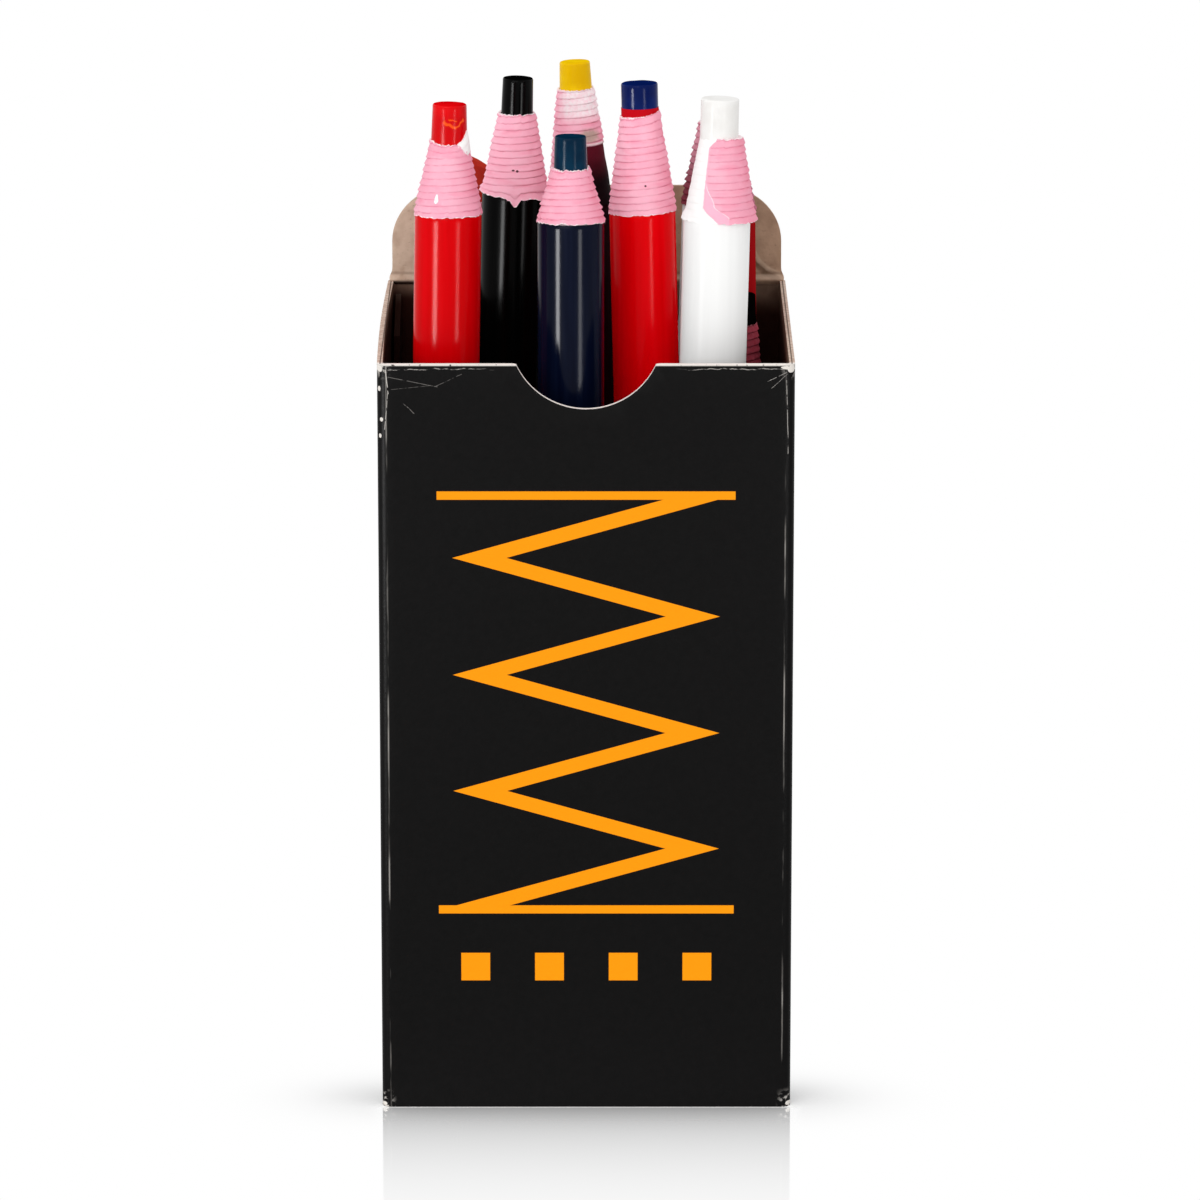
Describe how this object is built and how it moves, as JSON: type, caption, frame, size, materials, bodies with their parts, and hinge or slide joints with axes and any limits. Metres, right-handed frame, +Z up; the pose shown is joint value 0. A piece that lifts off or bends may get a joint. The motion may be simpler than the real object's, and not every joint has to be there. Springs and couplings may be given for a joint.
{
  "type": "boxed marking pencil set",
  "caption": "Open paperboard carton with thumb notch and raised rear flap, holding paper-wrapped peel-off marking pencils in mixed colours that pull out one by one.",
  "frame": {"origin": "centre of the carton's bottom face, on the surface it stands on", "axes": "+Z up, -Y towards the front wall with the thumb notch, +X to the right seen from the front"},
  "size_m": [0.0584, 0.0594, 0.1446],
  "materials": {
    "printed_board": "black printed and varnished outside, raw grey-brown inside",
    "raw_board": "raw solid paperboard",
    "pink_paper": "matte, wound and cut",
    "thread": "twisted",
    "red_wax": "waxy satin",
    "teal_wax": "waxy satin",
    "blue_wax": "waxy satin",
    "white_wax": "waxy satin",
    "black_wax": "waxy satin",
    "yellow_wax": "waxy satin",
    "terracotta_wax": "waxy satin",
    "red_sheath": "gloss lacquer",
    "navy_sheath": "gloss lacquer",
    "white_sheath": "gloss lacquer",
    "black_sheath": "gloss lacquer",
    "wine_sheath": "gloss lacquer",
    "brown_sheath": "gloss lacquer"
  },
  "bodies": {
    "carton": {"carton_sleeve": "printed_board", "carton_bottom_panel": "raw_board", "carton_dust_flap_left": "raw_board", "carton_dust_flap_right": "raw_board", "carton_glue_lap": "raw_board"},
    "lid_flap": {"carton_lid_flap": "raw_board"},
    "red_pencil": {"red_pencil_core": "red_wax", "red_pencil_paper_wrap": "pink_paper", "red_pencil_sheath": "red_sheath", "red_pencil_pull_string": "thread"},
    "navy_pencil": {"navy_pencil_core": "teal_wax", "navy_pencil_paper_wrap": "pink_paper", "navy_pencil_sheath": "navy_sheath", "navy_pencil_pull_string": "thread"},
    "blue_pencil": {"blue_pencil_core": "blue_wax", "blue_pencil_paper_wrap": "pink_paper", "blue_pencil_sheath": "red_sheath", "blue_pencil_pull_string": "thread"},
    "white_pencil": {"white_pencil_core": "white_wax", "white_pencil_paper_wrap": "pink_paper", "white_pencil_sheath": "white_sheath", "white_pencil_pull_string": "thread"},
    "black_pencil": {"black_pencil_core": "black_wax", "black_pencil_paper_wrap": "pink_paper", "black_pencil_sheath": "black_sheath", "black_pencil_pull_string": "thread"},
    "yellow_pencil": {"yellow_pencil_core": "yellow_wax", "yellow_pencil_paper_wrap": "pink_paper", "yellow_pencil_sheath": "wine_sheath", "yellow_pencil_pull_string": "thread"},
    "brown_pencil": {"brown_pencil_core": "terracotta_wax", "brown_pencil_paper_wrap": "pink_paper", "brown_pencil_sheath": "brown_sheath", "brown_pencil_pull_string": "thread"},
    "rear_white_pencil": {"rear_white_pencil_core": "white_wax", "rear_white_pencil_paper_wrap": "pink_paper", "rear_white_pencil_sheath": "white_sheath", "rear_white_pencil_pull_string": "thread"},
    "rear_red_pencil": {"rear_red_pencil_core": "red_wax", "rear_red_pencil_paper_wrap": "pink_paper", "rear_red_pencil_sheath": "red_sheath", "rear_red_pencil_pull_string": "thread"},
    "short_black_pencil": {"short_black_pencil_core": "black_wax", "short_black_pencil_paper_wrap": "pink_paper", "short_black_pencil_sheath": "black_sheath", "short_black_pencil_pull_string": "thread"}
  },
  "joints": [
    {"name": "lid_fold", "type": "hinge", "parent": "carton", "child": "lid_flap", "pos_m": [0, 0.02935, 0.1088], "axis": [1, 0, 0], "range_deg": [-170, 16]},
    {"name": "red_pencil_pull", "type": "slide", "parent": "carton", "child": "red_pencil", "axis": [0.0174, 0.0349, 0.9992], "range_m": [0, 0.115]},
    {"name": "navy_pencil_pull", "type": "slide", "parent": "carton", "child": "navy_pencil", "axis": [0, 0.0349, 0.9994], "range_m": [0, 0.115]},
    {"name": "blue_pencil_pull", "type": "slide", "parent": "carton", "child": "blue_pencil", "axis": [-0.0244, 0.0349, 0.9991], "range_m": [0, 0.115]},
    {"name": "white_pencil_pull", "type": "slide", "parent": "carton", "child": "white_pencil", "axis": [0.0244, 0.0349, 0.9991], "range_m": [0, 0.115]},
    {"name": "black_pencil_pull", "type": "slide", "parent": "carton", "child": "black_pencil", "axis": [0.0314, 0.0262, 0.9992], "range_m": [0, 0.115]},
    {"name": "yellow_pencil_pull", "type": "slide", "parent": "carton", "child": "yellow_pencil", "axis": [-0.0419, 0.0262, 0.9988], "range_m": [0, 0.115]},
    {"name": "brown_pencil_pull", "type": "slide", "parent": "carton", "child": "brown_pencil", "axis": [0, 0.0087, 1], "range_m": [0, 0.115]},
    {"name": "rear_white_pencil_pull", "type": "slide", "parent": "carton", "child": "rear_white_pencil", "axis": [0.0314, 0.0175, 0.9994], "range_m": [0, 0.115]},
    {"name": "rear_red_pencil_pull", "type": "slide", "parent": "carton", "child": "rear_red_pencil", "axis": [-0.014, 0.0175, 0.9998], "range_m": [0, 0.115]},
    {"name": "short_black_pencil_pull", "type": "slide", "parent": "carton", "child": "short_black_pencil", "axis": [0, 0.0175, 0.9998], "range_m": [0, 0.115]}
  ]
}
